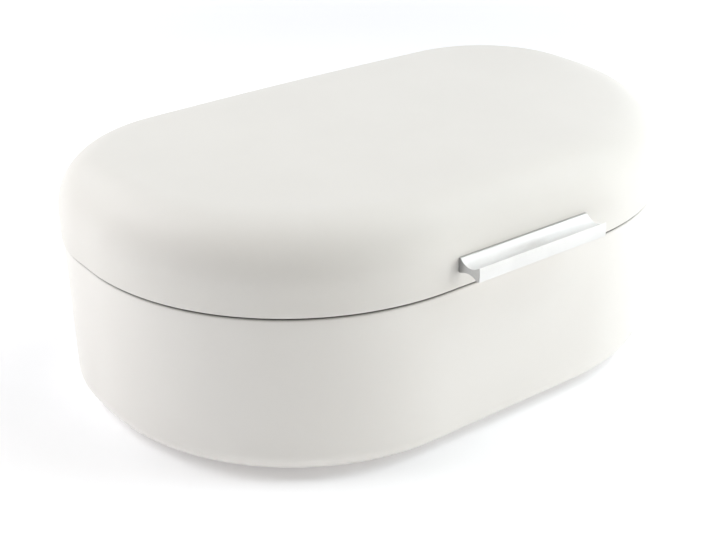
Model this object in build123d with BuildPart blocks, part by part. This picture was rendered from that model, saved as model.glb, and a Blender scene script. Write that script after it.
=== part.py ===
from build123d import *
import os

# Bread box: a drawn steel tub with rounded plan, a pressed lid hinged at the back and an aluminium pull.
# Millimetres. +Z is up, -Y is the front with the pull, +X is to the right of someone facing the front.
# The origin is on the table, under the middle of the whole box, its pull and hinges counted.

# Plan of the lid, the widest piece: straight front and back, wide corners in front, tighter ones behind.
# Each side is a front corner, a short straight and a back corner.
length = 414.0
front_corner = 148.0
side_straight = 20.0
back_corner = 92.0

# Sheet and levels above the table.
sheet = 0.8
foot_height = 2.5
tub_top = 108.5
lid_gap = 1.2
lid_height = 54.7

# Lid: wide rolled shoulder, faint crown along and across the box, folded hem.
shoulder_radius = 34.0
crown_along = 7000.0
crown_across = 2350.0
lid_hem_height = 6.0
lid_hem_thickness = 2.4
lid_hem_round = 0.8

# Tub: smaller than the lid by the overhang all round.
overhang = 1.2
bottom_radius = 16.0
tub_hem_height = 8.0
tub_hem_thickness = 2.4
tub_hem_round = 1.8
floor_panel_inset = 42.0
floor_panel_rise = 1.5
vent_radius = 2.0
vent_pitch = 12.0
vent_columns = 7
vent_rows = 2
vent_drop = 28.0

# Locating collar inside the mouth, with its rolled bead.
collar_rise = 7.8
bead_radius = 1.2

# Rubber feet.
foot_radius = 7.0
foot_round = 0.8
foot_inset = 30.0

# Pull: a waisted aluminium extrusion. Its section is given outwards from the skirt and up from its middle.
handle_length = 100.0
handle_reach = 18.0
handle_above_edge = 15.0
handle_half_height = 4.6
handle_back_lip = 1.6
handle_front_lip = 2.4
handle_waist_top = 1.2
handle_waist_bottom = -2.7
handle_bow = 0.4

# Screws that hold the pull, from inside the lid.
screw_radius = 1.5
screw_bite = 8.0
screw_head_radius = 2.8
screw_head_height = 2.0
screw_from_end = 18.0
screw_play = 0.05
washer_radius = 3.5
washer_thickness = 0.5

# Two butt hinges on the back.
hinge_spacing = 150.0
hinge_width = 46.0
leaf_thickness = 1.0
leaf_corner = 5.0
pin_radius = 1.25
pin_clearance = 0.05
knuckle_radius = 2.4
knuckle_count = 5
knuckle_gap = 0.25
axis_behind_lid = 3.0
axis_below_lid_edge = 0.6
leaf_start = 3.6
tub_leaf_height = 20.0
lid_leaf_height = 13.0
heel_reach = 4.6
heel_level = 0.6
pin_head_radius = 1.9
pin_head_height = 0.8

# Rivets of the hinge leaves.
rivet_radius = 1.6
rivet_head_radius = 3.0
rivet_head_height = 1.3
rivet_tail_radius = 2.4
rivet_tail_height = 0.9
rivet_spacing = 28.0
rivet_from_edge = 6.0
rivet_play = 0.05
drill_depth = 3.2

# Levels and places that follow from the sizes above.
depth = front_corner + side_straight + back_corner
lid_bottom = tub_top + lid_gap
lid_top = lid_bottom + lid_height
tub_floor = foot_height
collar_inset = overhang + tub_hem_thickness
collar_bottom = tub_top - tub_hem_height
bead_level = tub_top + collar_rise - bead_radius
hinge_reach = axis_behind_lid + heel_reach
shell_y = (handle_reach - hinge_reach) / 2
lid_front_y = shell_y - depth / 2
lid_back_y = shell_y + depth / 2
tub_back_y = lid_back_y - overhang
axis_y = lid_back_y + axis_behind_lid
axis_z = lid_bottom - axis_below_lid_edge
tub_leaf_top = axis_z - leaf_start
lid_leaf_bottom = axis_z + leaf_start
tub_rivet_level = tub_leaf_top - tub_leaf_height + rivet_from_edge
lid_rivet_level = lid_leaf_bottom + lid_leaf_height / 2
knuckle_width = (hinge_width - (knuckle_count - 1) * knuckle_gap) / knuckle_count
rivet_tail_level = -sheet - rivet_tail_height
rivet_crown_level = leaf_thickness + rivet_head_height
handle_level = lid_bottom + handle_above_edge
screw_spacing = handle_length - 2 * screw_from_end


def level(height):
    """The level plane at a height, centred on the box's shells."""
    return Plane(origin=(0, shell_y, height))


def upright(y):
    """The upright plane across the box at y, drawn in x and z."""
    return Plane.XZ.offset(-y)


def outline(inset):
    """The box's plan, drawn in by an inset from the lid's outside."""
    with BuildSketch(Plane.XY, mode=Mode.PRIVATE) as plan:
        Rectangle(length - 2 * inset, depth - 2 * inset)
        fillet(plan.vertices().group_by(Axis.Y)[0], front_corner - inset)
        fillet(plan.vertices().group_by(Axis.Y)[-1], back_corner - inset)
    return plan.sketch_local


def band(inset, thickness):
    """A ring of the plan, from an inset inwards by a thickness."""
    return outline(inset) - outline(inset + thickness)


def dome(inset, base):
    """The lid's pressed form, drawn in by an inset, from a base level up."""
    with BuildPart(mode=Mode.PRIVATE) as form:
        with BuildSketch(level(base)):
            add(outline(inset))
        extrude(amount=lid_top - base)
        with Locations((0, shell_y, lid_top - crown_along)):
            Torus(crown_along - crown_across, crown_across - inset, rotation=(90, 0, 0), mode=Mode.INTERSECT)
        fillet(form.faces().sort_by(Axis.Z)[-1].edges(), shoulder_radius - inset)
    return form.part


def knuckle_starts(hinge_x, first):
    """Where every second knuckle of a hinge starts along X, counted from the first one given."""
    left = hinge_x - hinge_width / 2
    return [left + i * (knuckle_width + knuckle_gap) for i in range(first, knuckle_count, 2)]


def rivet_columns(hinge_x):
    """The two rivet places of a hinge leaf along X."""
    return [hinge_x - rivet_spacing / 2, hinge_x + rivet_spacing / 2]


# Where the two hinges and the two screws sit along X.
hinge_x = {"left": -hinge_spacing / 2, "right": hinge_spacing / 2}
screw_x = {"left": -screw_spacing / 2, "right": screw_spacing / 2}
all_rivet_columns = rivet_columns(hinge_x["left"]) + rivet_columns(hinge_x["right"])

os.makedirs("parts", exist_ok=True)


# Lid shell: upright skirt, rolled shoulder and crowned top, pressed from one sheet, with a hem folded inwards.
with BuildPart() as lid_shell:
    add(dome(0, lid_bottom))
    add(dome(sheet, lid_bottom), mode=Mode.SUBTRACT)
    with BuildSketch(level(lid_bottom)):
        add(band(0, lid_hem_thickness))
    extrude(amount=lid_hem_height)
    fillet(lid_shell.edges().group_by(Axis.Z)[0], lid_hem_round)
    with BuildSketch(upright(lid_back_y)):
        with Locations(*[(x, lid_rivet_level) for x in all_rivet_columns]):
            Circle(rivet_radius + rivet_play)
    extrude(amount=drill_depth, both=True, mode=Mode.SUBTRACT)
    with BuildSketch(upright(lid_front_y)):
        with Locations(*[(x, handle_level) for x in screw_x.values()]):
            Circle(screw_radius + screw_play)
    extrude(amount=drill_depth, both=True, mode=Mode.SUBTRACT)
lid_shell.part.label = "lid_shell"
export_step(lid_shell.part, "parts/lid_shell.step")


# Tub shell: drawn with a round bottom edge, a raised floor panel, a folded hem at the mouth and air holes behind.
with BuildPart() as tub_shell:
    with BuildSketch(level(tub_floor)):
        add(outline(overhang))
    extrude(amount=tub_top - tub_floor)
    fillet(tub_shell.faces().sort_by(Axis.Z)[0].edges(), bottom_radius)
    offset(amount=-sheet, openings=tub_shell.faces().sort_by(Axis.Z)[-1])
    with BuildSketch(level(tub_floor)):
        add(outline(floor_panel_inset - sheet))
    extrude(amount=floor_panel_rise + sheet)
    with BuildSketch(level(tub_floor)):
        add(outline(floor_panel_inset))
    extrude(amount=floor_panel_rise, mode=Mode.SUBTRACT)
    with BuildSketch(level(tub_top)):
        add(band(overhang, tub_hem_thickness))
    extrude(amount=-tub_hem_height)
    mouth = tub_shell.faces().sort_by(Axis.Z)[-1]
    fillet(mouth.outer_wire().edges(), tub_hem_round)
    with BuildSketch(upright(tub_back_y)):
        with Locations((0, tub_top - vent_drop)):
            with GridLocations(vent_pitch, vent_pitch, vent_columns, vent_rows):
                Circle(vent_radius)
        with Locations(*[(x, tub_rivet_level) for x in all_rivet_columns]):
            Circle(rivet_radius + rivet_play)
    extrude(amount=drill_depth, both=True, mode=Mode.SUBTRACT)
tub_shell.part.label = "tub_shell"
export_step(tub_shell.part, "parts/tub_shell.step")


# Locating collar: a strip bent to the plan inside the tub's hem, its upper edge rolled into a bead.
with BuildPart() as locating_collar:
    with BuildSketch(level(collar_bottom)):
        add(band(collar_inset, sheet))
    extrude(amount=bead_level - collar_bottom)
    bead_path = level(bead_level) * outline(collar_inset + bead_radius).face().outer_wire()
    bead_start = Plane(origin=bead_path @ 0, z_dir=bead_path % 0)
    with BuildSketch(bead_start):
        Circle(bead_radius)
    sweep(path=bead_path)
locating_collar.part.label = "locating_collar"
export_step(locating_collar.part, "parts/locating_collar.step")


# Rubber feet, under the flat ring of the floor, one at each rounded corner of the plan.
foot_spots = {}
for across, side in ((-1, "left"), (1, "right")):
    for along, end, radius in ((-1, "front", front_corner), (1, "back", back_corner)):
        reach = (radius - foot_inset) * 0.5**0.5
        foot_x = across * (length / 2 - radius + reach)
        foot_y = shell_y + along * (depth / 2 - radius + reach)
        foot_spots[f"foot_{end}_{side}"] = (foot_x, foot_y)
for name, spot in foot_spots.items():
    with BuildPart() as foot:
        with BuildSketch():
            with Locations(spot):
                Circle(foot_radius)
        extrude(amount=foot_height)
        fillet(foot.faces().sort_by(Axis.Z)[0].edges(), foot_round)
    foot.part.label = name
    export_step(foot.part, f"parts/{name}.step")


# Rivet for a hinge leaf: domed head outside the leaf, shank through leaf and sheet, flat tail inside.
# It stands on its axis with the leaf's inner face at level 0.
with BuildPart(mode=Mode.PRIVATE) as rivet:
    with BuildSketch(Plane.XZ):
        with BuildLine():
            Line((0, rivet_crown_level), (0, rivet_tail_level))
            Line((0, rivet_tail_level), (rivet_tail_radius, rivet_tail_level))
            Line((rivet_tail_radius, rivet_tail_level), (rivet_tail_radius, -sheet))
            Line((rivet_tail_radius, -sheet), (rivet_radius, -sheet))
            Line((rivet_radius, -sheet), (rivet_radius, leaf_thickness))
            Line((rivet_radius, leaf_thickness), (rivet_head_radius, leaf_thickness))
            TangentArc((0, rivet_crown_level), (rivet_head_radius, leaf_thickness), tangent=(1, 0))
        make_face()
    revolve(axis=Axis.Z)

for side, x in hinge_x.items():
    # Leaf on the tub's back: plate, curled knuckles on radial webs, and the heels that stop the lid.
    with BuildPart() as tub_hinge_leaf:
        plate_middle = tub_back_y + leaf_thickness / 2
        with BuildSketch(Plane.YZ.offset(x - hinge_width / 2)):
            with Locations((plate_middle, tub_leaf_top)):
                Rectangle(leaf_thickness, tub_leaf_height, align=(Align.CENTER, Align.MAX))
        extrude(amount=hinge_width)
        fillet(tub_hinge_leaf.edges().filter_by(Axis.Y).group_by(Axis.Z)[0], leaf_corner)
        for start in knuckle_starts(x, 0):
            with BuildSketch(Plane.YZ.offset(start)):
                with BuildLine():
                    Polyline((plate_middle, tub_leaf_top - leaf_thickness), (plate_middle, tub_leaf_top),
                             (axis_y, axis_z))
                trace(line_width=leaf_thickness)
                with BuildLine():
                    Line((axis_y, axis_z + heel_level), (axis_y + heel_reach, axis_z + heel_level))
                trace(line_width=leaf_thickness)
                with Locations((axis_y, axis_z)):
                    Circle(knuckle_radius)
            extrude(amount=knuckle_width)
        with BuildSketch(Plane.YZ.offset(x - hinge_width / 2)):
            with Locations((axis_y, axis_z)):
                Circle(pin_radius + pin_clearance)
        extrude(amount=hinge_width, mode=Mode.SUBTRACT)
        with BuildSketch(upright(tub_back_y)):
            with Locations(*[(column, tub_rivet_level) for column in rivet_columns(x)]):
                Circle(rivet_radius + rivet_play)
        extrude(amount=drill_depth, both=True, mode=Mode.SUBTRACT)
    tub_hinge_leaf.part.label = f"tub_hinge_leaf_{side}"
    export_step(tub_hinge_leaf.part, f"parts/tub_hinge_leaf_{side}.step")

    # Leaf on the lid's back, with the knuckles that stand between the tub's.
    with BuildPart() as lid_hinge_leaf:
        plate_middle = lid_back_y + leaf_thickness / 2
        with BuildSketch(Plane.YZ.offset(x - hinge_width / 2)):
            with Locations((plate_middle, lid_leaf_bottom)):
                Rectangle(leaf_thickness, lid_leaf_height, align=(Align.CENTER, Align.MIN))
        extrude(amount=hinge_width)
        fillet(lid_hinge_leaf.edges().filter_by(Axis.Y).group_by(Axis.Z)[-1], leaf_corner)
        for start in knuckle_starts(x, 1):
            with BuildSketch(Plane.YZ.offset(start)):
                with BuildLine():
                    Polyline((plate_middle, lid_leaf_bottom + leaf_thickness), (plate_middle, lid_leaf_bottom),
                             (axis_y, axis_z))
                trace(line_width=leaf_thickness)
                with Locations((axis_y, axis_z)):
                    Circle(knuckle_radius)
            extrude(amount=knuckle_width)
        with BuildSketch(Plane.YZ.offset(x - hinge_width / 2)):
            with Locations((axis_y, axis_z)):
                Circle(pin_radius + pin_clearance)
        extrude(amount=hinge_width, mode=Mode.SUBTRACT)
        with BuildSketch(upright(lid_back_y)):
            with Locations(*[(column, lid_rivet_level) for column in rivet_columns(x)]):
                Circle(rivet_radius + rivet_play)
        extrude(amount=drill_depth, both=True, mode=Mode.SUBTRACT)
    lid_hinge_leaf.part.label = f"lid_hinge_leaf_{side}"
    export_step(lid_hinge_leaf.part, f"parts/lid_hinge_leaf_{side}.step")

    # Hinge pin, with a low domed head at its outer end.
    with BuildPart() as hinge_pin:
        with BuildSketch(Plane.YZ.offset(x - hinge_width / 2)):
            with Locations((axis_y, axis_z)):
                Circle(pin_radius)
        extrude(amount=hinge_width)
        for head_x, outward in ((x - hinge_width / 2, -1), (x + hinge_width / 2, 1)):
            with BuildSketch(Plane.YZ.offset(head_x)):
                with Locations((axis_y, axis_z)):
                    Circle(pin_head_radius)
            extrude(amount=outward * pin_head_height)
            rim = hinge_pin.faces().sort_by(Axis.X)[-1 if outward > 0 else 0].edges()
            fillet(rim, pin_head_height / 2)
    hinge_pin.part.label = f"hinge_pin_{side}"
    export_step(hinge_pin.part, f"parts/hinge_pin_{side}.step")

    # Rivets of the two leaves.
    for body, wall_y, rivet_level in (("tub", tub_back_y, tub_rivet_level), ("lid", lid_back_y, lid_rivet_level)):
        with BuildPart() as rivets:
            for column in rivet_columns(x):
                with Locations(Plane(origin=(column, wall_y, rivet_level), x_dir=(1, 0, 0), z_dir=(0, 1, 0))):
                    add(rivet.part)
        rivets.part.label = f"{body}_rivets_{side}"
        export_step(rivets.part, f"parts/{body}_rivets_{side}.step")


# Pull: a waisted bar with a hollow above and a shallower one below, cut square from an extrusion.
def handle_point(outwards, upwards):
    """A point of the pull's section, in y and z."""
    return (lid_front_y - outwards, handle_level + upwards)


with BuildPart() as handle:
    with BuildSketch(Plane.YZ.offset(-handle_length / 2)):
        with BuildLine():
            front = handle_reach - handle_bow
            middle = handle_reach / 2
            half = handle_half_height
            Line(handle_point(0, -half), handle_point(0, half))
            Line(handle_point(0, half), handle_point(handle_back_lip, half))
            ThreePointArc(handle_point(handle_back_lip, half), handle_point(middle, handle_waist_top),
                          handle_point(front, half))
            ThreePointArc(handle_point(front, half), handle_point(handle_reach, 0), handle_point(front, -half))
            Line(handle_point(front, -half), handle_point(front - handle_front_lip, -half))
            ThreePointArc(handle_point(front - handle_front_lip, -half),
                          handle_point(middle, handle_waist_bottom), handle_point(handle_back_lip, -half))
            Line(handle_point(handle_back_lip, -half), handle_point(0, -half))
        make_face()
    extrude(amount=handle_length)
    with BuildSketch(upright(lid_front_y)):
        with Locations(*[(x, handle_level) for x in screw_x.values()]):
            Circle(screw_radius)
    extrude(amount=screw_bite + screw_play, mode=Mode.SUBTRACT)
handle.part.label = "handle"
export_step(handle.part, "parts/handle.step")


# Screws and washers inside the lid's skirt, behind the pull.
for side, x in screw_x.items():
    inner_wall_y = lid_front_y + sheet
    with BuildPart() as handle_washer:
        with BuildSketch(upright(inner_wall_y)):
            with Locations((x, handle_level)):
                Circle(washer_radius)
                Circle(screw_radius + screw_play, mode=Mode.SUBTRACT)
        extrude(amount=-washer_thickness)
    handle_washer.part.label = f"handle_washer_{side}"
    export_step(handle_washer.part, f"parts/handle_washer_{side}.step")

    with BuildPart() as handle_screw:
        with BuildSketch(upright(inner_wall_y + washer_thickness)):
            with Locations((x, handle_level)):
                Circle(screw_radius)
        extrude(amount=washer_thickness + sheet + screw_bite)
        with BuildSketch(upright(inner_wall_y + washer_thickness)):
            with Locations((x, handle_level)):
                Circle(screw_head_radius)
        extrude(amount=-screw_head_height)
        fillet(handle_screw.faces().sort_by(Axis.Y)[-1].edges(), screw_head_height / 2)
    handle_screw.part.label = f"handle_screw_{side}"
    export_step(handle_screw.part, f"parts/handle_screw_{side}.step")
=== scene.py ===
import logging
import math
from dataclasses import dataclass, field
from enum import Enum

import bmesh
import bpy
import numpy as np
from mathutils import Matrix, Vector


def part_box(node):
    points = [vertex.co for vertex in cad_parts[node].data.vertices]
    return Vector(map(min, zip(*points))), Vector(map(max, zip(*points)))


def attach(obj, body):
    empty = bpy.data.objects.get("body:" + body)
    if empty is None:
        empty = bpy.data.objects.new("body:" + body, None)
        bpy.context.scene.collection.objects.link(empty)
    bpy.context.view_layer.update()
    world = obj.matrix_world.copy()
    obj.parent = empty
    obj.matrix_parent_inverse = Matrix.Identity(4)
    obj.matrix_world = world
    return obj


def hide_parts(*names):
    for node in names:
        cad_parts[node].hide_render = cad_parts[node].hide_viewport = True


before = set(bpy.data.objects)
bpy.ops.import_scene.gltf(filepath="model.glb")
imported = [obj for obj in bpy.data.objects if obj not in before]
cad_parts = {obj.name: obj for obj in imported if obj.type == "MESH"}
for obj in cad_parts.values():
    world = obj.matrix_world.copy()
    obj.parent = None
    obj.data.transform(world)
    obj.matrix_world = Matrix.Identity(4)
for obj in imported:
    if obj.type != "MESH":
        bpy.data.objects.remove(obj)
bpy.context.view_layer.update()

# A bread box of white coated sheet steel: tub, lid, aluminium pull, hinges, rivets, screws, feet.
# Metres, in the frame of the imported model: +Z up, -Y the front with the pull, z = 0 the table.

MM = 0.001
SHARP_ANGLE = math.radians(32)
EASED_ANGLE = math.radians(38)
FLAT_ANGLE = math.radians(0.5)
MERGE_DISTANCE = 0.002 * MM
OPENNESS_RAYS = 8
SHEET = 0.8 * MM
SMALL_STEPS = 4
SOFT_SEGMENTS = 2
ALONG_X, ALONG_Y, ALONG_Z = (1, 0, 0), (0, 1, 0), (0, 0, 1)
IMAGE_WIDTH = 716
Color = tuple[float, float, float]
Range = tuple[float, float]
log = logging.getLogger("bread_box")


class Body(Enum):
    """The two bodies that the hinges join."""

    TUB = "tub"
    LID = "lid"


class Side(Enum):
    """Left and right of someone who faces the front, as the nodes spell them."""

    LEFT = "left"
    RIGHT = "right"


# Shader maths


class Wire:
    """An output socket in a material, on which sums, differences and products add Math nodes."""

    def __init__(self, shader: "Shader", socket: bpy.types.NodeSocket | None) -> None:
        """Keeps the shader, which adds the nodes, and the output socket, None after the last."""
        self.shader = shader
        self.socket = socket

    def _math(self, operation: str, first: "Wire | float", second: "Wire | float" = 0.0) -> "Wire":
        """The result of one Math node on two values or wires."""
        return self.shader.node("ShaderNodeMath", {"operation": operation}, {0: first, 1: second})

    def __add__(self, other: "Wire | float") -> "Wire":
        """This plus other."""
        return self._math("ADD", self, other)

    __radd__ = __add__

    def __sub__(self, other: "Wire | float") -> "Wire":
        """This minus other."""
        return self._math("SUBTRACT", self, other)

    def __rsub__(self, other: "Wire | float") -> "Wire":
        """Other minus this."""
        return self._math("SUBTRACT", other, self)

    def __mul__(self, other: "Wire | float") -> "Wire":
        """This times other."""
        return self._math("MULTIPLY", self, other)

    __rmul__ = __mul__

    def __abs__(self) -> "Wire":
        """This without its sign."""
        return self._math("ABSOLUTE", self)

    def swing(self, amount: float) -> "Wire":
        """How far a noise is from its middle value, 0.5, times an amount."""
        return (self - 0.5) * amount

    def spread(self, low: float, high: float) -> "Wire":
        """This, eased from 0 at low to 1 at high and held there outside."""
        return self.shader.node(
            "ShaderNodeMapRange", {"clamp": True, "interpolation_type": "SMOOTHSTEP"},
            {"Value": self, "From Min": low, "From Max": high})


class Shader:
    """A material's node tree, with one method that adds any node."""

    def __init__(self, name: str) -> None:
        """Makes an empty material.

        Args:
            name: the material's name.
        """
        self.material = bpy.data.materials.new(name)
        self.material.use_nodes = True
        self.tree = self.material.node_tree
        self.tree.nodes.clear()
        self.place = self.node("ShaderNodeTexCoord", output="Object")

    def node(self, kind: str, settings: dict | None = None, inputs: dict | None = None,
             output: int | str = 0) -> Wire:
        """Adds a node, sets its settings first and then its sockets.

        Args:
            kind: the node's type.
            settings: attributes of the node, such as a Math node's operation.
            inputs: values or wires of its sockets, by name or number.
            output: the output socket that the returned wire stands for.

        Returns:
            The wire of that output.
        """
        made = self.tree.nodes.new(kind)
        for key, value in (settings or {}).items():
            setattr(made, key, value)
        for key, value in (inputs or {}).items():
            if isinstance(value, Wire):
                self.tree.links.new(value.socket, made.inputs[key])
            else:
                made.inputs[key].default_value = value
        return Wire(self, made.outputs[output] if len(made.outputs) else None)

    def along(self, axis: str) -> Wire:
        """The wire of the place along X, Y or Z, in metres."""
        return self.node("ShaderNodeSeparateXYZ", None, {0: self.place}, output=axis)

    def stretched(self, scale: tuple[float, float, float]) -> Wire:
        """Object coordinates multiplied along X, Y and Z by the three factors of scale."""
        return self.node("ShaderNodeMapping", {"vector_type": "POINT"},
                         {"Vector": self.place, "Scale": scale})

    def noise(self, vector: Wire, scale: float, detail: float) -> Wire:
        """Noise from 0 to 1, with scale features to the unit of vector and detail finer layers."""
        return self.node("ShaderNodeTexNoise", None,
                         {"Vector": vector, "Scale": scale, "Detail": detail})

    def blend(self, share: Wire, first: Wire | Color, second: Wire | Color) -> Wire:
        """Mixes two colours.

        Args:
            share: the share of the second colour.
            first: the colour at 0, as a wire or as red, green and blue.
            second: the colour at 1, likewise.

        Returns:
            The wire of the mixed colour.
        """
        ends = [color if isinstance(color, Wire) else (*color, 1.0) for color in (first, second)]
        return self.node("ShaderNodeMix", {"data_type": "RGBA"},
                         {"Factor": share, 6: ends[0], 7: ends[1]}, output=2)

    def openness(self, reach: float) -> Wire:
        """1 on a free surface, towards 0 deep in a gap whose other side is nearer than reach."""
        return self.node("ShaderNodeAmbientOcclusion", {"samples": OPENNESS_RAYS},
                         {"Distance": reach}, output="AO")

    def bump(self, height: Wire, depth: float) -> Wire:
        """The normal of a height from 0 to 1, where 1 stands for a depth in metres."""
        return self.node("ShaderNodeBump", None,
                         {"Strength": 1.0, "Distance": depth, "Height": height}, output="Normal")

    def finish(self, color: Wire, roughness: Wire, normal: Wire,
               others: dict[str, Wire | float]) -> bpy.types.Material:
        """Ends the material in one Principled shader.

        Args:
            color: the wire of the base colour.
            roughness: the wire of the roughness.
            normal: the wire of the normal.
            others: values or wires of the shader's other sockets, by name.

        Returns:
            The material.
        """
        surface = self.node("ShaderNodeBsdfPrincipled", None, {
            **others, "Base Color": color, "Roughness": roughness, "Normal": normal})
        self.node("ShaderNodeOutputMaterial", None, {"Surface": surface})
        return self.material


# Finishes. A range holds the values of a noise or an openness that become 0 and 1.


@dataclass(frozen=True)
class PowderCoat:
    """Satin powder coat on sheet steel: faint orange peel, cloudy gloss, painted shade in gaps.

    The painted shade is darkest where the openness is at the start of gap_range and gone at its
    end. It is painted only above the lower of its two heights, in full from the upper on.
    """

    name: str
    light: Color = (0.822, 0.803, 0.768)
    shade: Color = (0.808, 0.789, 0.754)
    cloud_scale: float = 14.0
    cloud_range: Range = (0.3, 0.7)
    cloudiness: float = 0.06
    roughness: float = 0.40
    ior: float = 1.5
    specular: float = 0.15
    peel_scale: float = 620.0
    grit_scale: float = 1900.0
    grit_share: float = 0.25
    peel_depth: float = 0.016 * MM
    # Painted shade in gaps: its colour, reach and openness range, and the heights where it starts
    # and is full.
    dust_and_shade: Color = (0.07, 0.065, 0.06)
    gap_reach: float = 8.0 * MM
    gap_range: Range = (0.2, 0.95)
    gap_shade_from: float = 50.0 * MM
    gap_shade_full: float = 60.0 * MM

    def material(self) -> bpy.types.Material:
        """Makes the finish.

        Returns:
            The material.
        """
        shader = Shader(self.name)
        cloud = shader.noise(shader.place, self.cloud_scale, detail=3.0)
        peel = shader.noise(shader.place, self.peel_scale, detail=1.0)
        grit = shader.noise(shader.place, self.grit_scale, detail=0.0)
        height = peel * (1 - self.grit_share) + grit * self.grit_share
        unshaded = shader.blend(cloud.spread(*self.cloud_range), self.light, self.shade)
        # Painted shade: the colour goes dark where ambient occlusion finds a narrow gap, above a
        # height near the floor.
        low = 1 - shader.along("Z").spread(self.gap_shade_from, self.gap_shade_full)
        open_share = shader.openness(self.gap_reach).spread(*self.gap_range)
        color = shader.blend(low + open_share, self.dust_and_shade, unshaded)
        roughness = self.roughness + cloud.swing(self.cloudiness) + grit.swing(self.cloudiness)
        return shader.finish(color, roughness, shader.bump(height, self.peel_depth),
                             {"IOR": self.ior, "Specular IOR Level": self.specular})


@dataclass(frozen=True)
class SatinAluminium:
    """Anodised aluminium with fine die lines along X, painted darker as shade in hollows and at
    ends.

    Where the openness is at the start of open_range, corner_share of the unshaded colour is left in
    the painted shade. Past the range along X that marks the end faces, a further share of it goes
    as well.
    """

    name: str
    light: Color = (0.90, 0.90, 0.895)
    shade: Color = (0.88, 0.88, 0.875)
    blush_scale: float = 60.0
    blush_range: Range = (0.35, 0.65)
    roughness: float = 0.70
    anisotropy: float = 0.35
    line_scale: float = 2600.0
    line_length: float = 0.012
    line_depth: float = 0.006 * MM
    line_gloss: float = 0.12
    lines_to_band: float = 6.0
    band_share: float = 0.3
    band_gloss: float = 0.08
    # Painted shade: its colour in hollows and on the end faces, its reach, openness range and end
    # range.
    hollow_shade: Color = (0.25, 0.25, 0.245)
    hollow_reach: float = 8.0 * MM
    open_range: Range = (0.35, 1.0)
    corner_share: float = 0.4
    end_shade_range: Range = (49.85 * MM, 49.95 * MM)
    end_shade_share: float = 0.35

    def material(self) -> bpy.types.Material:
        """Makes the finish.

        Returns:
            The material.
        """
        shader = Shader(self.name)
        along = shader.stretched((self.line_length, 1.0, 1.0))
        lines = shader.noise(along, self.line_scale, detail=2.0)
        bands = shader.noise(along, self.line_scale / self.lines_to_band, detail=1.0)
        blush = shader.noise(shader.place, self.blush_scale, detail=2.0)
        height = lines * (1 - self.band_share) + bands * self.band_share
        unshaded = shader.blend(blush.spread(*self.blush_range), self.light, self.shade)
        # Painted shade: the end faces, and the hollows that ambient occlusion finds, take the
        # shaded colour.
        end_shade = abs(shader.along("X")).spread(*self.end_shade_range) * self.end_shade_share
        open_share = shader.openness(self.hollow_reach).spread(*self.open_range)
        unshaded_share = open_share * (1 - self.corner_share) + self.corner_share - end_shade
        color = shader.blend(unshaded_share, self.hollow_shade, unshaded)
        roughness = self.roughness + lines.swing(self.line_gloss) + bands.swing(self.band_gloss)
        return shader.finish(color, roughness, shader.bump(height, self.line_depth),
                             {"Metallic": 1.0, "Anisotropic": self.anisotropy})


@dataclass(frozen=True)
class PlatedSteel:
    """Zinc-plated steel, slightly mottled, with fine turning marks."""

    name: str
    light: Color = (0.66, 0.66, 0.64)
    shade: Color = (0.52, 0.52, 0.51)
    mottle_scale: float = 420.0
    mottle_range: Range = (0.35, 0.65)
    mottle_gloss: float = 0.25
    roughness: float = 0.30
    mark_scale: float = 3000.0
    mark_stretch: tuple[float, float, float] = (1.0, 0.15, 1.0)
    mark_gloss: float = 0.1
    mark_depth: float = 0.005 * MM

    def material(self) -> bpy.types.Material:
        """Makes the finish.

        Returns:
            The material.
        """
        shader = Shader(self.name)
        mottle = shader.noise(shader.place, self.mottle_scale, detail=3.0)
        marks = shader.noise(shader.stretched(self.mark_stretch), self.mark_scale, detail=1.0)
        color = shader.blend(mottle.spread(*self.mottle_range), self.light, self.shade)
        roughness = self.roughness + mottle.swing(self.mottle_gloss) + marks.swing(self.mark_gloss)
        return shader.finish(color, roughness, shader.bump(marks, self.mark_depth),
                             {"Metallic": 1.0})


@dataclass(frozen=True)
class MouldedRubber:
    """Grey rubber with a dull, finely grained face and a little dust on it."""

    name: str
    light: Color = (0.150, 0.150, 0.155)
    shade: Color = (0.105, 0.105, 0.109)
    dust_scale: float = 220.0
    dust_range: Range = (0.4, 0.7)
    roughness: float = 0.72
    grain_scale: float = 1600.0
    grain_gloss: float = 0.2
    grain_depth: float = 0.03 * MM

    def material(self) -> bpy.types.Material:
        """Makes the finish.

        Returns:
            The material.
        """
        shader = Shader(self.name)
        grain = shader.noise(shader.place, self.grain_scale, detail=2.0)
        dust_and_shade = shader.noise(shader.place, self.dust_scale, detail=3.0)
        color = shader.blend(dust_and_shade.spread(*self.dust_range), self.shade, self.light)
        roughness = self.roughness + grain.swing(self.grain_gloss)
        return shader.finish(color, roughness, shader.bump(grain, self.grain_depth),
                             {"Metallic": 0.0})


@dataclass(frozen=True)
class FloorPaper:
    """White paper that glows a little near the box and more far off, so that it stays pale.

    far_range holds the distances from the origin at which the far glow starts and is full.
    """

    name: str
    light: Color = (0.940, 0.945, 0.955)
    shade: Color = (0.930, 0.935, 0.945)
    fibre_scale: float = 900.0
    fibre_range: Range = (0.3, 0.7)
    fibre_gloss: float = 0.1
    fibre_depth: float = 0.01 * MM
    roughness: float = 0.9
    near_glow: Color = (0.1782, 0.1755, 0.18)
    far_glow: Color = (1.0, 1.0, 1.0)
    far_range: Range = (0.7, 1.7)

    def material(self) -> bpy.types.Material:
        """Makes the finish.

        Returns:
            The material.
        """
        shader = Shader(self.name)
        fibre = shader.noise(shader.place, self.fibre_scale, detail=2.0)
        color = shader.blend(fibre.spread(*self.fibre_range), self.light, self.shade)
        roughness = self.roughness + fibre.swing(self.fibre_gloss)
        distance = shader.node("ShaderNodeVectorMath", {"operation": "LENGTH"},
                               {0: shader.place}, output="Value")
        glow = shader.blend(distance.spread(*self.far_range), self.near_glow, self.far_glow)
        return shader.finish(color, roughness, shader.bump(fibre, self.fibre_depth), {
            "Specular IOR Level": 0.0, "Emission Color": glow, "Emission Strength": 1.0})


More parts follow.
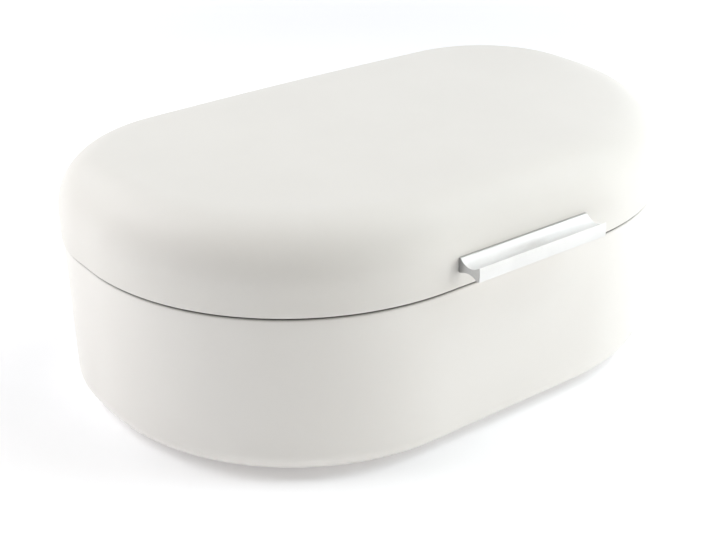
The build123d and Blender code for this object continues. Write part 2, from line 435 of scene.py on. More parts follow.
class Finishes:
    """Every material of the box, made once."""

    def __init__(self) -> None:
        """Makes the materials."""
        # Painted light: the tub's coat is painted lighter than the lid's, as if the tub were lit
        # more.
        self.tub = PowderCoat("tub_powder_coat", light=(0.872, 0.852, 0.820),
                              shade=(0.858, 0.838, 0.806)).material()
        self.lid = PowderCoat("lid_powder_coat", gap_reach=1.5 * MM,
                              gap_range=(0.2, 0.65)).material()
        self.collar = PowderCoat("collar_powder_coat", roughness=0.36, cloud_scale=22.0).material()
        self.hinge = PowderCoat("hinge_paint", roughness=0.34, peel_scale=900.0, cloud_scale=60.0,
                                gap_reach=1.5 * MM).material()
        self.aluminium = SatinAluminium("satin_aluminium").material()
        self.pin = PlatedSteel("pin_steel", roughness=0.24, mottle_scale=700.0).material()
        self.rivet = PlatedSteel("rivet_steel").material()
        self.screw = PlatedSteel("screw_steel", roughness=0.27, mottle_scale=520.0).material()
        self.rubber = MouldedRubber("foot_rubber").material()


# Meshes


@dataclass
class Skin:
    """A closed surface: rows of points that each close on themselves, between two poles or caps."""

    rows: np.ndarray
    poles: np.ndarray | None = None

    def weave(self, offset: int) -> tuple[np.ndarray, list[list[int]]]:
        """Joins the points to faces that look outwards.

        Point k of row j makes a quad with k + 1 and with row j + 1, and the last column meets the
        first. A pole closes its end with a fan of triangles, and without poles each end is one
        flat face. Faces turn round where the signed volume is negative: the sum of
        a . (b x c) / 6 over all triangles a, b, c.

        Args:
            offset: how many points the mesh has already.

        Returns:
            The points, and the faces as lists of point numbers.
        """
        count, columns = self.rows.shape[:2]
        index = np.arange(count * columns).reshape(count, columns)
        after = np.roll(index, -1, axis=1)
        quads = np.stack([index[:-1], after[:-1], after[1:], index[1:]], axis=-1).reshape(-1, 4)
        points = self.rows.reshape(-1, 3)
        if self.poles is None:
            ends = [index[0][::-1].tolist(), index[-1].tolist()]
        else:
            first = np.full(columns, len(points))
            fans = [np.stack([first, after[0], index[0]], axis=-1),
                    np.stack([first + 1, index[-1], after[-1]], axis=-1)]
            ends = np.concatenate(fans).tolist()
            points = np.concatenate([points, self.poles])
        inner = points - points.mean(axis=0)
        a, b, c, d = (inner[quads[:, corner]] for corner in range(4))
        volume = (a * np.cross(b, c)).sum() + (a * np.cross(c, d)).sum()
        for end in ends:
            corners = inner[end]
            fan = np.cross(corners[1:-1], corners[2:])
            volume += (corners[0] * fan).sum()
        faces = quads.tolist() + ends
        if volume < 0:
            faces = [face[::-1] for face in faces]
        return points, [[corner + offset for corner in face] for face in faces]


def add_object(name: str, data: bpy.types.ID) -> bpy.types.Object:
    """Puts an object into the scene, at the origin.

    Args:
        name: the object's name.
        data: its mesh, light or camera.

    Returns:
        The object.
    """
    made = bpy.data.objects.new(name, data)
    bpy.context.scene.collection.objects.link(made)
    return made


def new_piece(name: str, skins: list[Skin]) -> bpy.types.Object:
    """Makes one object of closed surfaces, shaded smooth between its sharp edges.

    Args:
        name: the object's name.
        skins: its closed surfaces.

    Returns:
        The object.
    """
    points, faces, total = [], [], 0
    for skin in skins:
        own_points, own_faces = skin.weave(total)
        points.append(own_points)
        faces.extend(own_faces)
        total += len(own_points)
    mesh = bpy.data.meshes.new(name)
    mesh.from_pydata(np.concatenate(points).tolist(), [], faces)
    smooth(mesh)
    return add_object(name, mesh)


def smooth(mesh: bpy.types.Mesh) -> None:
    """Shades a mesh smooth, apart from the edges that turn by more than SHARP_ANGLE."""
    mesh.shade_smooth()
    mesh.set_sharp_from_angle(angle=SHARP_ANGLE)


def cut(piece: bpy.types.Object, cutter: bpy.types.Object) -> None:
    """Takes the cutter's shape out of a piece and deletes the cutter.

    Args:
        piece: the object that is cut.
        cutter: the object whose shape goes.
    """
    modifier = piece.modifiers.new("cut", "BOOLEAN")
    modifier.operation = "DIFFERENCE"
    modifier.solver = "EXACT"
    modifier.object = cutter
    bpy.context.view_layer.update()
    evaluated = piece.evaluated_get(bpy.context.evaluated_depsgraph_get())
    shape = bpy.data.meshes.new_from_object(evaluated)
    piece.modifiers.remove(modifier)
    piece.data = shape
    smooth(shape)
    bpy.data.objects.remove(cutter)


def ease_edges(piece: bpy.types.Object, width: float, segments: int) -> None:
    """Rounds a piece's sharp edges with a Bevel modifier that keeps its flats flat.

    Args:
        piece: the object.
        width: how far the round reaches from the edge, in metres.
        segments: faces across the round.
    """
    bevel = piece.modifiers.new("eased_edges", "BEVEL")
    bevel.width = width
    bevel.segments = segments
    bevel.limit_method = "ANGLE"
    bevel.angle_limit = EASED_ANGLE
    bevel.harden_normals = True


def merged_copy(name: str, node: str) -> bpy.types.Object:
    """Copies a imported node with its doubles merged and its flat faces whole.

    Args:
        name: the new object's name.
        node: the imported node.

    Returns:
        The copy.
    """
    work = bmesh.new()
    work.from_mesh(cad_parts[node].data)
    bmesh.ops.remove_doubles(work, verts=work.verts, dist=MERGE_DISTANCE)
    bmesh.ops.dissolve_limit(work, angle_limit=FLAT_ANGLE, verts=work.verts, edges=work.edges)
    mesh = bpy.data.meshes.new(name)
    work.to_mesh(mesh)
    work.free()
    smooth(mesh)
    return add_object(name, mesh)


def middle_of(node: str) -> tuple[float, float, float]:
    """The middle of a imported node's box, in x, y and z."""
    return tuple((low + high) / 2 for low, high in zip(*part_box(node)))


def arc(center: tuple[float, float], radius: float, start: float, end: float,
        steps: int) -> np.ndarray:
    """A round in a section: centre + radius (cos a, sin a), with a from start to end.

    Args:
        center: the round's centre in the section.
        radius: its radius.
        start: the first angle in degrees.
        end: the last angle in degrees.
        steps: how many chords it has.

    Returns:
        The points, steps + 1 by 2.
    """
    turn = np.radians(np.linspace(start, end, steps + 1))
    return np.stack([center[0] + radius * np.cos(turn), center[1] + radius * np.sin(turn)],
                    axis=-1)


def arc_through(first: tuple, middle: tuple, last: tuple, steps: int) -> np.ndarray:
    """The arc from first to last through a point on their middle line.

    With half the chord c and the rise h of the middle point, the radius is (c c + h h) / 2 h. The
    points go round the centre at even turns from first to last.

    Args:
        first: the arc's first point.
        middle: the point it passes half way.
        last: its last point.
        steps: how many chords it has.

    Returns:
        The points, steps + 1 by 2.
    """
    a, b, c = (np.array(point, dtype=float) for point in (first, middle, last))
    chord_middle = (a + c) / 2
    half = np.linalg.norm(c - a) / 2
    rise = np.linalg.norm(b - chord_middle)
    inward = (chord_middle - b) / rise
    radius = (half**2 + rise**2) / (2 * rise)
    center = b + inward * radius
    across = (c - a) / (2 * half)
    reach = math.asin(half / radius)
    turn = np.linspace(-reach, reach, steps + 1)[:, None]
    return center + radius * (np.sin(turn) * across - np.cos(turn) * inward)


def turned(profile: np.ndarray, origin: tuple, axis: tuple, chords: int = 48) -> Skin:
    """Turns a profile about an axis: origin + height axis + radius (cos a across + sin a up).

    Args:
        profile: radius and height of each point, m by 2, where the first and last radius is 0.
        origin: the point of the axis at height 0.
        axis: the axis's direction, one of X, Y and Z.
        chords: how many chords the round has.

    Returns:
        The closed surface.
    """
    origin, axis = np.array(origin, dtype=float), np.array(axis, dtype=float)
    across = np.roll(axis, 1)
    up = np.cross(axis, across)
    turn = np.linspace(0, 2 * math.pi, chords, endpoint=False)[:, None]
    circle = np.cos(turn) * across + np.sin(turn) * up
    radius, height = profile[:, 0, None, None], profile[:, 1, None, None]
    points = origin + height * axis + radius * circle
    return Skin(points[1:-1], points[[0, -1], 0])


def between(first: np.ndarray, last: np.ndarray, steps: int) -> np.ndarray:
    """Rows evenly between two rows, without the two.

    Args:
        first: the row before them.
        last: the row after them.
        steps: how many steps lead from first to last.

    Returns:
        The rows, steps - 1 of them.
    """
    share = np.linspace(0, 1, steps + 1)[1:-1, None, None]
    return first + share * (last - first)


def dress(piece: bpy.types.Object, material: bpy.types.Material, body: Body,
          node: str) -> None:
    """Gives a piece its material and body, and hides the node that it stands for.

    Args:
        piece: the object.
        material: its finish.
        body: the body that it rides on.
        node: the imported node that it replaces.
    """
    piece.data.materials.clear()
    piece.data.materials.append(material)
    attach(piece, body.value)
    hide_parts(node)
    faces = len(piece.data.polygons)
    log.info("%s: %d faces, for %s on %s", piece.name, faces, node, body.value)


# The plan and the hem that tub and lid share


@dataclass
class Plan:
    """The box's plan: straight front and back, wide corners in front and tighter ones behind.

    An inset draws it in. Every inset has the same columns of points, so sections sweep round it as
    a grid.
    """

    half_length: float
    front: float
    back: float
    front_corner: float = 148.0 * MM
    back_corner: float = 92.0 * MM
    front_arc_steps: int = 64
    back_arc_steps: int = 48
    front_steps: int = 24
    back_steps: int = 40
    side_steps: int = 4
    edge: np.ndarray = field(init=False)
    normal: np.ndarray = field(init=False)

    def __post_init__(self) -> None:
        """Works out the outline: four quarter circles, with straight runs from each to the next.

        A corner's points are centre + radius (cos a, sin a) and its normals (cos a, sin a). A
        straight run's points are spaced evenly between two corners, with the normal that both
        corners have there.
        """
        wide, tight = self.front_corner, self.back_corner
        front_x, back_x = self.half_length - wide, self.half_length - tight
        front_y, back_y = self.front + wide, self.back - tight
        corners = [
            ((front_x, front_y), wide, -90, self.front_arc_steps, self.side_steps),
            ((back_x, back_y), tight, 0, self.back_arc_steps, self.back_steps),
            ((-back_x, back_y), tight, 90, self.back_arc_steps, self.side_steps),
            ((-front_x, front_y), wide, 180, self.front_arc_steps, self.front_steps)]
        arcs = [arc(center, radius, start, start + 90, steps)
                for center, radius, start, steps, _ in corners]
        edges, normals = [], []
        for number, (center, radius, _, _, run_steps) in enumerate(corners):
            round_points = arcs[number]
            next_start = arcs[(number + 1) % len(arcs)][0]
            share = np.linspace(0, 1, run_steps + 1)[1:-1, None]
            run = round_points[-1] + share * (next_start - round_points[-1])
            edges += [round_points, run]
            outward = (round_points - np.array(center)) / radius
            normals += [outward, np.broadcast_to(outward[-1], run.shape)]
        self.edge = np.concatenate(edges)
        self.normal = np.concatenate(normals)

    @property
    def middle(self) -> np.ndarray:
        """The plan's centre, in x and y."""
        return np.array([0.0, (self.front + self.back) / 2])

    def ring(self, inset: float | np.ndarray) -> np.ndarray:
        """The plan's points drawn in by one inset or by several: edge - inset normal."""
        return self.edge - inset * self.normal

    def sweep(self, section: np.ndarray) -> np.ndarray:
        """Carries a section round the plan: x and y are the ring at its inset, z is its height.

        Args:
            section: inset and height of each point, m by 2.

        Returns:
            The rows, m by n by 3.
        """
        flat = self.ring(section[:, 0, None, None])
        height = np.broadcast_to(section[:, 1, None, None], (*flat.shape[:2], 1))
        return np.concatenate([flat, height], axis=-1)


@dataclass(frozen=True)
class Hem:
    """The folded edge of a shell: a lip of two rounds, an inner face, a fold and a ledge."""

    height: float
    lip_rounds: tuple[float, float]
    lip_steps: tuple[int, int]
    thickness: float = 2.4 * MM
    fold_round: float = 0.5 * MM
    fold_steps: int = 5
    ledge_round: float = 0.2 * MM
    ledge_steps: int = 3

    def section(self, inset: float, lip: float, way: int) -> np.ndarray:
        """Goes round the lip, along the inner face and back under the fold to the sheet.

        Args:
            inset: the inset of the shell's outer face.
            lip: the height of the lip.
            way: 1 where the lip is the shell's upper end, -1 where it is the lower.

        Returns:
            Insets and heights, m by 2.
        """
        (outer, inner), (outer_steps, inner_steps) = self.lip_rounds, self.lip_steps
        face, fold, ledge = self.thickness, self.fold_round, self.ledge_round
        upright = np.concatenate([
            arc((outer, -outer), outer, 180, 90, outer_steps),
            arc((face - inner, -inner), inner, 90, 0, inner_steps),
            arc((face - fold, fold - self.height), fold, 0, -90, self.fold_steps),
            arc((SHEET + ledge, -self.height - ledge), ledge, 90, 180, self.ledge_steps)])
        return upright * (1, way) + (inset, lip)


# The tub and what is fixed to it


@dataclass
class Tub:
    """The drawn tub: round lower edge, raised panel, folded hem, air holes, and its collar."""

    plan: Plan
    finishes: Finishes
    hem: Hem = Hem(8.0 * MM, (1.8 * MM, 0.3 * MM), (8, 4))
    overhang: float = 1.2 * MM
    bottom_radius: float = 16.0 * MM
    bottom_steps: int = 20
    panel_inset: float = 42.0 * MM
    panel_rise: float = 1.5 * MM
    panel_round: float = 0.6 * MM
    vent_radius: float = 2.0 * MM
    vent_lip: float = 0.25 * MM
    vent_pitch: float = 12.0 * MM
    vent_columns: int = 7
    vent_rows: int = 2
    vent_drop: float = 28.0 * MM
    vent_chords: int = 32
    wall_steps: int = 18
    panel_steps: int = 6
    floor: float = field(init=False)
    top: float = field(init=False)
    back: float = field(init=False)

    def __post_init__(self) -> None:
        """Takes the tub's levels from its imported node."""
        low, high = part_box("tub_shell")
        self.floor, self.top, self.back = low.z, high.z, high.y

    def _lower_section(self, depth: float) -> np.ndarray:
        """One face of the sheet from the floor panel's edge to the foot of the wall.

        Two quarter circles make the panel's step, and one the lower edge of the tub.

        Args:
            depth: 0 for the outer face, the sheet's thickness for the inner.

        Returns:
            Insets and heights, m by 2.
        """
        step, turn = self.panel_round, self.panel_inset - depth
        radius, floor = self.bottom_radius, self.floor + depth
        rise = floor + self.panel_rise
        return np.concatenate([
            arc((turn + step, rise - step), step, 90, 180, SMALL_STEPS),
            arc((turn - step, floor + step), step, 0, -90, SMALL_STEPS),
            [(turn - radius, floor)],
            arc((self.overhang + radius, self.floor + radius), radius - depth, 270, 180,
                self.bottom_steps)])

    def _shell(self) -> bpy.types.Object:
        """Sweeps the sheet round the plan, with flat floors drawn to the middle.

        Returns:
            The shell, one closed surface.
        """
        outer = self.plan.sweep(self._lower_section(0.0))
        hem = self.plan.sweep(self.hem.section(self.overhang, self.top, 1))
        inner = self.plan.sweep(self._lower_section(SHEET)[::-1])
        poles = np.array([[*self.plan.middle, outer[0, 0, 2]],
                          [*self.plan.middle, inner[-1, 0, 2]]])
        rows = np.concatenate([
            between(poles[0], outer[0], self.panel_steps), outer,
            between(outer[-1], hem[0], self.wall_steps), hem,
            between(hem[-1], inner[0], self.wall_steps), inner,
            between(inner[-1], poles[1], self.panel_steps)])
        return new_piece("drawn_tub", [Skin(rows, poles)])

    def _vent_cutter(self) -> bpy.types.Object:
        """Spools that cut the air holes: straight in the sheet, wider at both faces for a lip.

        The spool's radius at depth d from a face is radius + lip (1 - sin a) where
        d = lip (1 - cos a).

        Returns:
            The cutter.
        """
        lip = self.vent_lip
        flare = arc((self.vent_radius + lip, SHEET / 2 - lip), lip, 180, 90, SMALL_STEPS)
        half = np.concatenate([flare, [(self.vent_radius + lip, SHEET)]])
        profile = np.concatenate([[(0, -SHEET)], half[::-1] * (1, -1), half, [(0, SHEET)]])
        column = (np.arange(self.vent_columns) - (self.vent_columns - 1) / 2) * self.vent_pitch
        row = (np.arange(self.vent_rows) - (self.vent_rows - 1) / 2) * self.vent_pitch
        level = self.top - self.vent_drop
        spools = [
            turned(profile, (x, self.back - SHEET / 2, level + z), ALONG_Y, self.vent_chords)
            for x in column for z in row]
        return new_piece("vent_cutter", spools)

    def build(self) -> None:
        """Builds the shell, cuts its air holes, and dresses it and the collar."""
        shell = self._shell()
        cut(shell, self._vent_cutter())
        dress(shell, self.finishes.tub, Body.TUB, "tub_shell")
        collar = merged_copy("collar_strip", "locating_collar")
        dress(collar, self.finishes.collar, Body.TUB, "locating_collar")


@dataclass
class Feet:
    """Four round rubber pads under the floor, with a soft lower edge."""

    finishes: Finishes
    edge_round: float = 0.8 * MM
    edge_steps: int = 6
    rim_round: float = 0.25 * MM
    chords: int = 64

    def build(self) -> None:
        """Turns a pad for each foot node and dresses it.

        The profile goes up the axis from the table: flat, a quarter circle, an upright side, a
        small quarter circle and a flat top.
        """
        edge, rim = self.edge_round, self.rim_round
        for end in ("front", "back"):
            for side in Side:
                node = f"foot_{end}_{side.value}"
                low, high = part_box(node)
                radius, height = (high.x - low.x) / 2, high.z - low.z
                profile = np.concatenate([
                    [(0, 0)], arc((radius - edge, edge), edge, 270, 360, self.edge_steps),
                    arc((radius - rim, height - rim), rim, 0, 90, SMALL_STEPS), [(0, height)]])
                foot = (*middle_of(node)[:2], low.z)
                pad = new_piece(f"foot_pad_{end}_{side.value}",
                                [turned(profile, foot, ALONG_Z, self.chords)])
                dress(pad, self.finishes.rubber, Body.TUB, node)


# The lid and what is fixed to it


@dataclass
class Lid:
    """The pressed lid: upright skirt, wide rolled shoulder, faint crown, hem folded inwards."""

    plan: Plan
    finishes: Finishes
    hem: Hem = Hem(6.0 * MM, (0.8 * MM, 0.8 * MM), (6, 6))
    shoulder: float = 34.0 * MM
    crown_along: float = 7000.0 * MM
    crown_across: float = 2350.0 * MM
    shoulder_steps: int = 24
    crown_steps: int = 16
    skirt_steps: int = 6
    bottom: float = field(init=False)
    top: float = field(init=False)

    def __post_init__(self) -> None:
        """Takes the lid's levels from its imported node."""
        low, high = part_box("lid_shell")
        self.bottom, self.top = low.z, high.z

    def _crown(self, flat: np.ndarray, depth: float) -> np.ndarray:
        """Heights of the crown, or of the surface a depth below it.

        The crown is the outside of a torus whose axis runs along Y: z = axis level +
        sqrt(q q - x x), where q = along - across + sqrt((across - depth)^2 - (y - middle)^2).

        Args:
            flat: the places in x and y.
            depth: how far below the crown, square to it.

        Returns:
            The heights.
        """
        off_middle = flat[..., 1] - self.plan.middle[1]
        tube = np.sqrt((self.crown_across - depth) ** 2 - off_middle**2)
        reach = self.crown_along - self.crown_across + tube
        return self.top - self.crown_along + np.sqrt(reach**2 - flat[..., 0] ** 2)

    def _ball_path(self) -> tuple[np.ndarray, np.ndarray]:
        """The centres of the ball that rolls along the shoulder, and the crown's normals there.

        A centre is one radius in from the wall and one radius below the crown. The normal there
        points from the torus's tube centre: with w the distance from the torus's axis and e the
        unit vector from the axis in x and z, it is ((w - along + across) e, y - middle), divided
        by its length.

        Returns:
            The centres and the normals, each n by 3.
        """
        flat = self.plan.ring(self.shoulder)
        centers = np.concatenate([flat, self._crown(flat, self.shoulder)[:, None]], axis=-1)
        upward = centers[:, 2] - (self.top - self.crown_along)
        distance = np.hypot(centers[:, 0], upward)
        share = (distance - self.crown_along + self.crown_across) / distance
        normals = np.stack([share * centers[:, 0], centers[:, 1] - self.plan.middle[1],
                            share * upward], axis=-1)
        return centers, normals / np.linalg.norm(normals, axis=-1, keepdims=True)

    def _shell_rows(self, depth: float) -> np.ndarray:
        """Rows of one face of the sheet, from near the crown's middle to the shoulder's foot.

        On the shoulder a point is centre + radius (sin((1 - s) w) N + sin(s w) n) / sin w, where w
        is the angle between the crown's normal N and the wall's normal n, and s runs from 0 to 1.
        On the crown a row is the shoulder's first row drawn towards the middle, at the crown's
        height.

        Args:
            depth: 0 for the outer face, the sheet's thickness for the inner.

        Returns:
            The rows, m by n by 3.
        """
        centers, crown_normals = self._ball_path()
        wall_normals = np.concatenate([self.plan.normal, np.zeros((len(centers), 1))], axis=-1)
        turn = np.arccos((crown_normals * wall_normals).sum(axis=-1))[:, None]
        share = np.linspace(0, 1, self.shoulder_steps + 1)[:, None, None]
        crown_part = np.sin((1 - share) * turn) * crown_normals
        facing = (crown_part + np.sin(share * turn) * wall_normals) / np.sin(turn)
        shoulder = centers + (self.shoulder - depth) * facing
        inward = np.linspace(0, 1, self.crown_steps + 1)[1:-1, None, None]
        flat = self.plan.middle + inward * (shoulder[0, :, :2] - self.plan.middle)
        crown = np.concatenate([flat, self._crown(flat, depth)[..., None]], axis=-1)
        return np.concatenate([crown, shoulder])

    def build(self) -> None:
        """Builds the shell as one closed surface of outer face, hem and inner face."""
        outer, inner = self._shell_rows(0.0), self._shell_rows(SHEET)[::-1]
        hem = self.plan.sweep(self.hem.section(0.0, self.bottom, -1))
        poles = np.array([[*self.plan.middle, self.top], [*self.plan.middle, self.top - SHEET]])
        rows = np.concatenate([
            outer, between(outer[-1], hem[0], self.skirt_steps), hem,
            between(hem[-1], inner[0], self.skirt_steps), inner])
        shell = new_piece("pressed_lid", [Skin(rows, poles)])
        dress(shell, self.finishes.lid, Body.LID, "lid_shell")


@dataclass
class Pull:
    """The aluminium pull, and the screws and washers that hold it from inside the skirt."""

    finishes: Finishes
    back_lip: float = 1.6 * MM
    front_lip: float = 2.4 * MM
    waist_top: float = 1.2 * MM
    waist_bottom: float = -2.7 * MM
    bow: float = 0.4 * MM
    edge_round: float = 0.22 * MM
    edge_segments: int = 4
    waist_steps: int = 32
    bow_steps: int = 8
    shank_radius: float = 1.5 * MM
    point_radius: float = 0.8 * MM
    point_length: float = 1.8 * MM
    head_height: float = 2.0 * MM
    dome_steps: int = 8
    recess_reach: float = 1.5 * MM
    recess_half_width: float = 0.35 * MM
    recess_depth: float = 1.1 * MM
    recess_floor_share: float = 0.55
    recess_mouth_share: float = 1.1
    washer_round: float = 0.08 * MM

    def _section(self, reach: float, half: float) -> np.ndarray:
        """The pull's section: a flat back, hollows above and below, and a front that bows out.

        Each hollow and the front are arcs through three points, outwards from the skirt and up
        from the middle.

        Args:
            reach: how far the pull stands out.
            half: half its height.

        Returns:
            The points, m by 2.
        """
        front, middle = reach - self.bow, reach / 2
        return np.concatenate([
            [(0, half)],
            arc_through((self.back_lip, half), (middle, self.waist_top), (front, half),
                        self.waist_steps),
            arc_through((front, half), (reach, 0), (front, -half), self.bow_steps)[1:],
            arc_through((front - self.front_lip, -half), (middle, self.waist_bottom),
                        (self.back_lip, -half), self.waist_steps),
            [(0, -half)]])

    def _bar(self) -> None:
        """Carries the section along X between two flat ends."""
        low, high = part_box("handle")
        section = self._section(high.y - low.y, (high.z - low.z) / 2)
        ends = np.array([low.x, high.x])
        rows = np.empty((len(ends), len(section), 3))
        rows[..., 0] = ends[:, None]
        rows[..., 1] = high.y - section[:, 0]
        rows[..., 2] = middle_of("handle")[2] + section[:, 1]
        bar = new_piece("pull_bar", [Skin(rows)])
        ease_edges(bar, self.edge_round, self.edge_segments)
        dress(bar, self.finishes.aluminium, Body.LID, "handle")

    def _screw(self, side: Side) -> None:
        """A pan-head screw: point, shank, flat seat, quarter circle over the head, cross recess.

        The point is narrow enough to end under the pull's upper hollow.

        Args:
            side: which of the two screws.
        """
        node = f"handle_screw_{side.value}"
        low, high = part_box(node)
        head, shank, dome = (high.x - low.x) / 2, self.shank_radius, self.head_height / 2
        length = high.y - low.y
        seat = length - self.head_height
        profile = np.concatenate([
            [(0, 0), (self.point_radius, 0), (shank, self.point_length), (shank, seat)],
            [(head, seat)], arc((head - dome, length - dome), dome, 0, 90, self.dome_steps),
            [(0, length)]])
        x, _, z = middle_of(node)
        screw = new_piece(f"pull_screw_{side.value}", [turned(profile, (x, low.y, z), ALONG_Y)])
        for long_x in (True, False):
            cut(screw, self._slot_cutter(x, high.y, z, long_x))
        dress(screw, self.finishes.screw, Body.LID, node)

    def _slot_cutter(self, x: float, face_y: float, z: float, long_x: bool) -> bpy.types.Object:
        """One wedge of the cross recess, from the recess's floor to just above the head.

        Args:
            x: the screw's place along X.
            face_y: the level of the head's face.
            z: the screw's height.
            long_x: whether the wedge is long along X, or else along Z.

        Returns:
            The cutter.
        """
        half = self.recess_half_width
        levels = ((face_y - self.recess_depth, self.recess_reach * self.recess_floor_share),
                  (face_y + half, self.recess_reach * self.recess_mouth_share))
        rows = []
        for level, reach in levels:
            across, up = (reach, half) if long_x else (half, reach)
            rows.append([(x - across, level, z - up), (x + across, level, z - up),
                         (x + across, level, z + up), (x - across, level, z + up)])
        return new_piece("recess_cutter", [Skin(np.array(rows))])

    def build(self) -> None:
        """Builds the pull, its screws and its washers."""
        self._bar()
        for side in Side:
            self._screw(side)
            node = f"handle_washer_{side.value}"
            washer = merged_copy(f"pull_washer_{side.value}", node)
            ease_edges(washer, self.washer_round, SOFT_SEGMENTS)
            dress(washer, self.finishes.screw, Body.LID, node)


# The hinges


@dataclass
class Hinge:
    """One butt hinge: two leaves with curled knuckles, its pin, and the rivets of both leaves."""

    side: Side
    finishes: Finishes
    leaf_thickness: float = 1.0 * MM
    edge_round: float = 0.14 * MM
    rivet_radius: float = 1.6 * MM
    head_radius: float = 3.0 * MM
    head_height: float = 1.3 * MM
    head_steps: int = 12
    tail_radius: float = 2.4 * MM
    tail_height: float = 0.9 * MM
    rivet_round: float = 0.25 * MM
    rivet_spacing: float = 28.0 * MM
    pin_radius: float = 1.25 * MM
    pin_head_height: float = 0.8 * MM
    pin_dome_steps: int = 6
    pin_chords: int = 40

    def _leaves(self) -> None:
        """Dresses the two leaves with eased edges, as stamping leaves them."""
        for body in Body:
            node = f"{body.value}_hinge_leaf_{self.side.value}"
            leaf = merged_copy(f"leaf_on_{body.value}_{self.side.value}", node)
            ease_edges(leaf, self.edge_round, SOFT_SEGMENTS)
            dress(leaf, self.finishes.hinge, body, node)

    def _pin(self) -> None:
        """Turns the pin about X, with a low domed head at both ends."""
        node = f"hinge_pin_{self.side.value}"
        low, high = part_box(node)
        head, length = (high.z - low.z) / 2, high.x - low.x
        thick, dome = self.pin_head_height, self.pin_head_height / 2
        end = np.concatenate([
            [(0, 0)], arc((head - dome, dome), dome, 270, 360, self.pin_dome_steps),
            [(head, thick), (self.pin_radius, thick)]])
        profile = np.concatenate([end, end[::-1] * (1, -1) + (0, length)])
        start = (low.x, *middle_of(node)[1:])
        pin = new_piece(f"pin_{self.side.value}",
                        [turned(profile, start, ALONG_X, self.pin_chords)])
        dress(pin, self.finishes.pin, Body.TUB, node)

    def _rivet_profile(self) -> np.ndarray:
        """A rivet from the middle of its tail to the crown of its head, height 0 at the wall.

        The head is one arc over an upright rim, and the tail's edge is a small quarter circle.

        Returns:
            Radius and height of each point, m by 2.
        """
        small, tail = self.rivet_round, self.tail_radius
        low = -SHEET - self.tail_height
        crown = self.leaf_thickness + self.head_height
        rise = self.head_height - small
        radius = (self.head_radius**2 + rise**2) / (2 * rise)
        reach = math.degrees(math.asin(self.head_radius / radius))
        return np.concatenate([
            [(0, low)], arc((tail - small, low + small), small, 270, 360, SMALL_STEPS),
            [(tail, -SHEET), (self.rivet_radius, -SHEET)],
            [(self.rivet_radius, self.leaf_thickness), (self.head_radius, self.leaf_thickness)],
            arc((0, crown - radius), radius, 90 - reach, 90, self.head_steps)[:-1],
            [(0, crown)]])

    def _rivets(self) -> None:
        """Turns two rivets for each leaf about Y."""
        profile, half = self._rivet_profile(), self.rivet_spacing / 2
        for body in Body:
            node = f"{body.value}_rivets_{self.side.value}"
            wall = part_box(node)[1].y - self.leaf_thickness - self.head_height
            x, _, z = middle_of(node)
            pair = [turned(profile, (place, wall, z), ALONG_Y) for place in (x - half, x + half)]
            rivets = new_piece(f"rivets_on_{body.value}_{self.side.value}", pair)
            dress(rivets, self.finishes.rivet, body, node)

    def build(self) -> None:
        """Builds the leaves, the pin and the rivets."""
        self._leaves()
        self._pin()
        self._rivets()


# The studio


def direction(azimuth: float, elevation: float) -> Vector:
    """The unit vector from the box towards a place.

    Args:
        azimuth: the place's turn in degrees, 0 in front and positive to the right.
        elevation: its height angle in degrees.

    Returns:
        The vector.
    """
    turn, rise = math.radians(azimuth), math.radians(elevation)
    level = math.cos(rise)
    return Vector((math.sin(turn) * level, -math.cos(turn) * level, math.sin(rise)))


@dataclass(frozen=True)
class Softbox:
    """A square studio light that faces the box, placed by its turn and height angle in degrees."""

    name: str
    azimuth: float
    elevation: float
    size: float
    power: float
    color: Color
    distance: float = 1.5

    def build(self, target: Vector) -> None:
        """Hangs the light and turns it to the target.

        Args:
            target: the point that it faces.
        """
        data = bpy.data.lights.new(self.name, "AREA")
        data.shape = "SQUARE"
        data.size = self.size
        data.energy = self.power
        data.color = self.color
        back = direction(self.azimuth, self.elevation)
        facing = back.to_track_quat("Z", "Y").to_matrix().to_4x4()
        lamp = add_object(self.name, data)
        lamp.matrix_world = Matrix.Translation(target + back * self.distance) @ facing


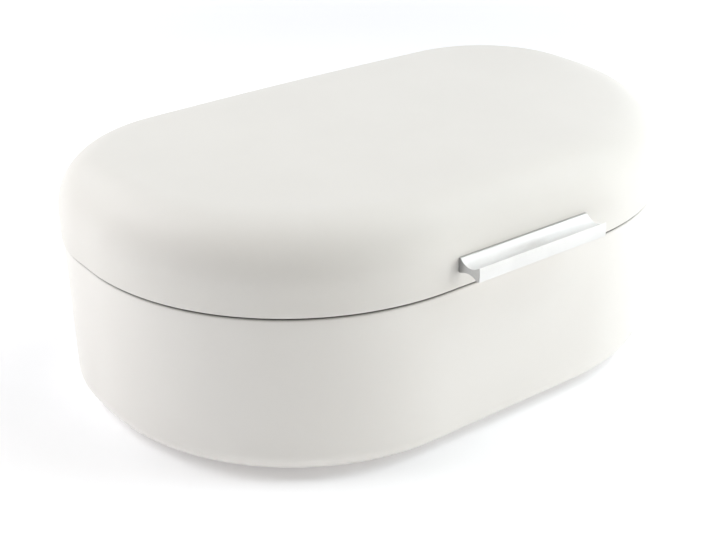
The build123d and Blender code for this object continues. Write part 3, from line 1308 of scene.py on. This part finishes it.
@dataclass
class Studio:
    """A pale floor, softboxes and the camera at the photograph's angle.

    The camera's turn, height angle and roll are in degrees, and its sensor is in millimetres.
    """

    target: Vector = field(default_factory=lambda: Vector((0.0, 5.2 * MM, 80.0 * MM)))
    camera_azimuth: float = -36.197
    camera_elevation: float = 26.797
    camera_roll: float = -0.799
    camera_distance: float = 886.999 * MM
    aim_right: float = -20.621 * MM
    aim_up: float = -22.865 * MM
    focal_pixels: float = 1319.758
    sensor_width: float = 36.0
    floor_reach: float = 30.0
    horizon_glow: float = 0.8
    horizon_rise: float = 0.26
    softboxes: tuple[Softbox, ...] = (
        Softbox("left_wide_softbox", -116.2, 10.0, 1.3, 4.6, (1.0, 0.95, 0.90)),
        Softbox("left_high_softbox", -126.2, 42.0, 0.8, 9.6, (0.99, 0.99, 1.0)),
        Softbox("left_back_softbox", -156.2, 35.0, 0.9, 4.7, (0.94, 0.97, 1.0)),
        Softbox("left_top_softbox", -128.2, 68.0, 0.8, 1.5, (1.0, 0.993, 0.98)),
        Softbox("right_front_softbox", 23.8, 14.0, 0.75, 3.6, (1.0, 0.93, 0.78)),
        Softbox("right_low_softbox", 53.8, 14.0, 0.8, 4.5, (0.873, 0.946, 1.0)),
        Softbox("right_high_softbox", 58.8, 44.0, 0.9, 10.6, (0.88, 0.95, 1.0)),
        Softbox("right_top_softbox", 53.8, 68.0, 0.75, 5.6, (1.0, 0.965, 0.905)),
        Softbox("back_right_softbox", 113.8, 18.0, 0.8, 1.5, (0.97, 0.98, 1.0)),
        Softbox("back_softbox", 153.8, 25.0, 1.0, 0.7, (0.96, 0.98, 1.0)))

    def _floor(self) -> None:
        """Lays a wide square floor of paper."""
        corners = np.array([(-1, -1, 0), (1, -1, 0), (1, 1, 0), (-1, 1, 0)]) * self.floor_reach
        mesh = bpy.data.meshes.new("floor")
        mesh.from_pydata(corners.tolist(), [], [(0, 1, 2, 3)])
        mesh.materials.append(FloorPaper("floor_paper").material())
        add_object("floor", mesh)

    def _world(self) -> None:
        """A white surround, bright at the horizon and dark above, where the softboxes hang."""
        world = bpy.data.worlds.new("studio_world")
        world.use_nodes = True
        nodes, links = world.node_tree.nodes, world.node_tree.links
        background = nodes["Background"]
        background.inputs["Color"].default_value = (1.0, 1.0, 1.0, 1.0)
        place, parts, ease = (nodes.new(kind) for kind in (
            "ShaderNodeTexCoord", "ShaderNodeSeparateXYZ", "ShaderNodeMapRange"))
        ease.interpolation_type = "SMOOTHSTEP"
        for socket, value in (("From Min", 0.0), ("From Max", self.horizon_rise),
                              ("To Min", self.horizon_glow), ("To Max", 0.0)):
            ease.inputs[socket].default_value = value
        links.new(place.outputs["Generated"], parts.inputs[0])
        links.new(parts.outputs["Z"], ease.inputs["Value"])
        links.new(ease.outputs[0], background.inputs["Strength"])
        bpy.context.scene.world = world

    def _camera(self) -> None:
        """Stands the camera off the target, moves it in its own plane, and then rolls it."""
        back = direction(self.camera_azimuth, self.camera_elevation)
        turn, roll = math.radians(self.camera_azimuth), math.radians(self.camera_roll)
        right = Vector((math.cos(turn), math.sin(turn), 0.0))
        up = back.cross(right)
        stand = self.target + back * self.camera_distance
        place = stand + right * self.aim_right + up * self.aim_up
        rolled_right = right * math.cos(roll) + up * math.sin(roll)
        rolled_up = up * math.cos(roll) - right * math.sin(roll)
        data = bpy.data.cameras.new("camera")
        data.sensor_fit = "HORIZONTAL"
        data.sensor_width = self.sensor_width
        data.lens = self.focal_pixels / IMAGE_WIDTH * self.sensor_width
        facing = Matrix((rolled_right, rolled_up, back)).transposed().to_4x4()
        camera = add_object("camera", data)
        camera.matrix_world = Matrix.Translation(place) @ facing
        bpy.context.scene.camera = camera

    def build(self) -> None:
        """Builds the floor, the surround, the lights and the camera."""
        self._floor()
        self._world()
        for softbox in self.softboxes:
            softbox.build(self.target)
        self._camera()
        bpy.context.scene.view_settings.view_transform = "Standard"
        log.info("studio: %d softboxes", len(self.softboxes))


def main() -> None:
    """Builds the studio and the box."""
    logging.basicConfig(level=logging.INFO, format="%(name)s %(message)s")
    Studio().build()
    low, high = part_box("lid_shell")
    plan = Plan(high.x, low.y, high.y)
    finishes = Finishes()
    Tub(plan, finishes).build()
    Feet(finishes).build()
    Lid(plan, finishes).build()
    Pull(finishes).build()
    for side in Side:
        Hinge(side, finishes).build()


if __name__ == "__main__":
    main()
